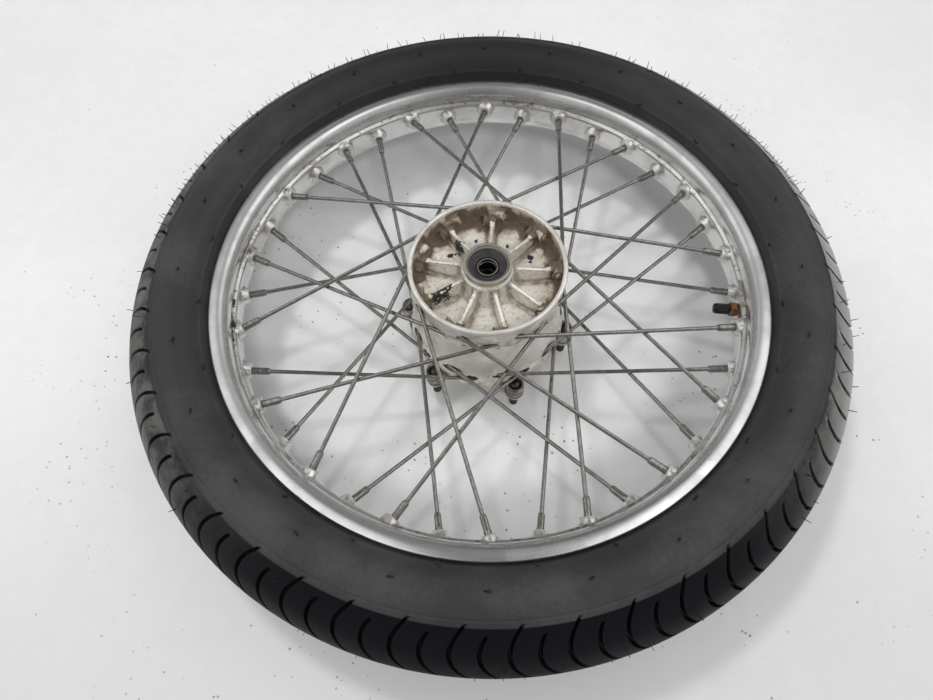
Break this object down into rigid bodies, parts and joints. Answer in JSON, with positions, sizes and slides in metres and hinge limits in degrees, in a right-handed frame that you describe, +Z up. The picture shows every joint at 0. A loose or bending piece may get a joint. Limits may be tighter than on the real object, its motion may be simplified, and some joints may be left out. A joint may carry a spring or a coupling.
{
  "type": "spoked wheel",
  "caption": "Spoked motorcycle wheel: road tyre and tube on a polished alloy rim, laced to a cast hub that turns on sealed ball bearings.",
  "frame": {"origin": "the wheel's centre: on the axle line, in the middle plane of rim and tyre, within 2 mm of the centre of volume", "axes": "+Y runs along the axle line from the hub's open, ribbed side to its flange side with the studs; +Z is up with the wheel upright; +X follows, level"},
  "size_m": [0.63, 0.1324, 0.63],
  "materials": {
    "tyre_rubber": "matte charcoal rubber, dusty in the tread",
    "tube_rubber": "matte black rubber",
    "tape_rubber": "matte dark rubber band",
    "polished_rim": "polished aluminium, brushed round the rim, with grey scuffs",
    "cast_hub": "sand cast aluminium, oxidised off-white with brown grime in the corners",
    "galvanised_spoke": "dull galvanised steel with dark spots",
    "stud_steel": "bright plated steel, worn",
    "bearing_steel": "ground bearing steel",
    "seal_rubber": "moulded black rubber, satin",
    "stem_steel": "threaded plated brass, tarnished",
    "rusty_nut": "rusty orange-brown steel",
    "cap_plastic": "ribbed black moulded plastic"
  },
  "bodies": {
    "core": {"bearing_inner_ring_open_side": "bearing_steel", "bearing_inner_ring_flange_side": "bearing_steel", "distance_tube": "bearing_steel", "axle_collar": "bearing_steel"},
    "wheel": {"tyre": "tyre_rubber", "inner_tube": "tube_rubber", "rim_tape": "tape_rubber", "rim": "polished_rim", "hub": "cast_hub", "spoke_01": "galvanised_spoke", "spoke_02": "galvanised_spoke", "spoke_03": "galvanised_spoke", "spoke_04": "galvanised_spoke", "spoke_05": "galvanised_spoke", "spoke_06": "galvanised_spoke", "spoke_07": "galvanised_spoke", "spoke_08": "galvanised_spoke", "spoke_09": "galvanised_spoke", "spoke_10": "galvanised_spoke", "spoke_11": "galvanised_spoke", "spoke_12": "galvanised_spoke", "spoke_13": "galvanised_spoke", "spoke_14": "galvanised_spoke", "spoke_15": "galvanised_spoke", "spoke_16": "galvanised_spoke", "spoke_17": "galvanised_spoke", "spoke_18": "galvanised_spoke", "spoke_19": "galvanised_spoke", "spoke_20": "galvanised_spoke", "spoke_21": "galvanised_spoke", "spoke_22": "galvanised_spoke", "spoke_23": "galvanised_spoke", "spoke_24": "galvanised_spoke", "spoke_25": "galvanised_spoke", "spoke_26": "galvanised_spoke", "spoke_27": "galvanised_spoke", "spoke_28": "galvanised_spoke", "spoke_29": "galvanised_spoke", "spoke_30": "galvanised_spoke", "spoke_31": "galvanised_spoke", "spoke_32": "galvanised_spoke", "spoke_33": "galvanised_spoke", "spoke_34": "galvanised_spoke", "spoke_35": "galvanised_spoke", "spoke_36": "galvanised_spoke", "flange_stud_1": "stud_steel", "flange_stud_2": "stud_steel", "flange_stud_3": "stud_steel", "flange_stud_4": "stud_steel", "flange_stud_5": "stud_steel", "flange_stud_6": "stud_steel", "valve_stem": "stem_steel", "valve_nut": "rusty_nut", "bearing_outer_ring_open_side": "bearing_steel", "bearing_outer_ring_flange_side": "bearing_steel", "seal_open_side": "seal_rubber", "seal_flange_side": "seal_rubber"},
    "balls_open_side": {"ball_cage_open_side": "bearing_steel"},
    "balls_flange_side": {"ball_cage_flange_side": "bearing_steel"},
    "valve_cap": {"valve_cap": "cap_plastic"}
  },
  "joints": [
    {"name": "wheel_spin", "type": "hinge", "parent": "core", "child": "wheel", "pos_m": [0, 0, 0], "axis": [0, 1, 0], "continuous": true},
    {"name": "open_side_balls_roll", "type": "hinge", "parent": "core", "child": "balls_open_side", "pos_m": [0, -0.0325, 0], "axis": [0, 1, 0], "continuous": true},
    {"name": "flange_side_balls_roll", "type": "hinge", "parent": "core", "child": "balls_flange_side", "pos_m": [0, 0.0465, 0], "axis": [0, 1, 0], "continuous": true},
    {"name": "valve_cap_off", "type": "slide", "parent": "wheel", "child": "valve_cap", "axis": [-0.9921, 0, 0.1253], "range_m": [0, 0.014]}
  ],
  "couplings": [
    {"joint": "open_side_balls_roll", "follows": "wheel_spin", "ratio": 0.619},
    {"joint": "flange_side_balls_roll", "follows": "wheel_spin", "ratio": 0.619}
  ]
}
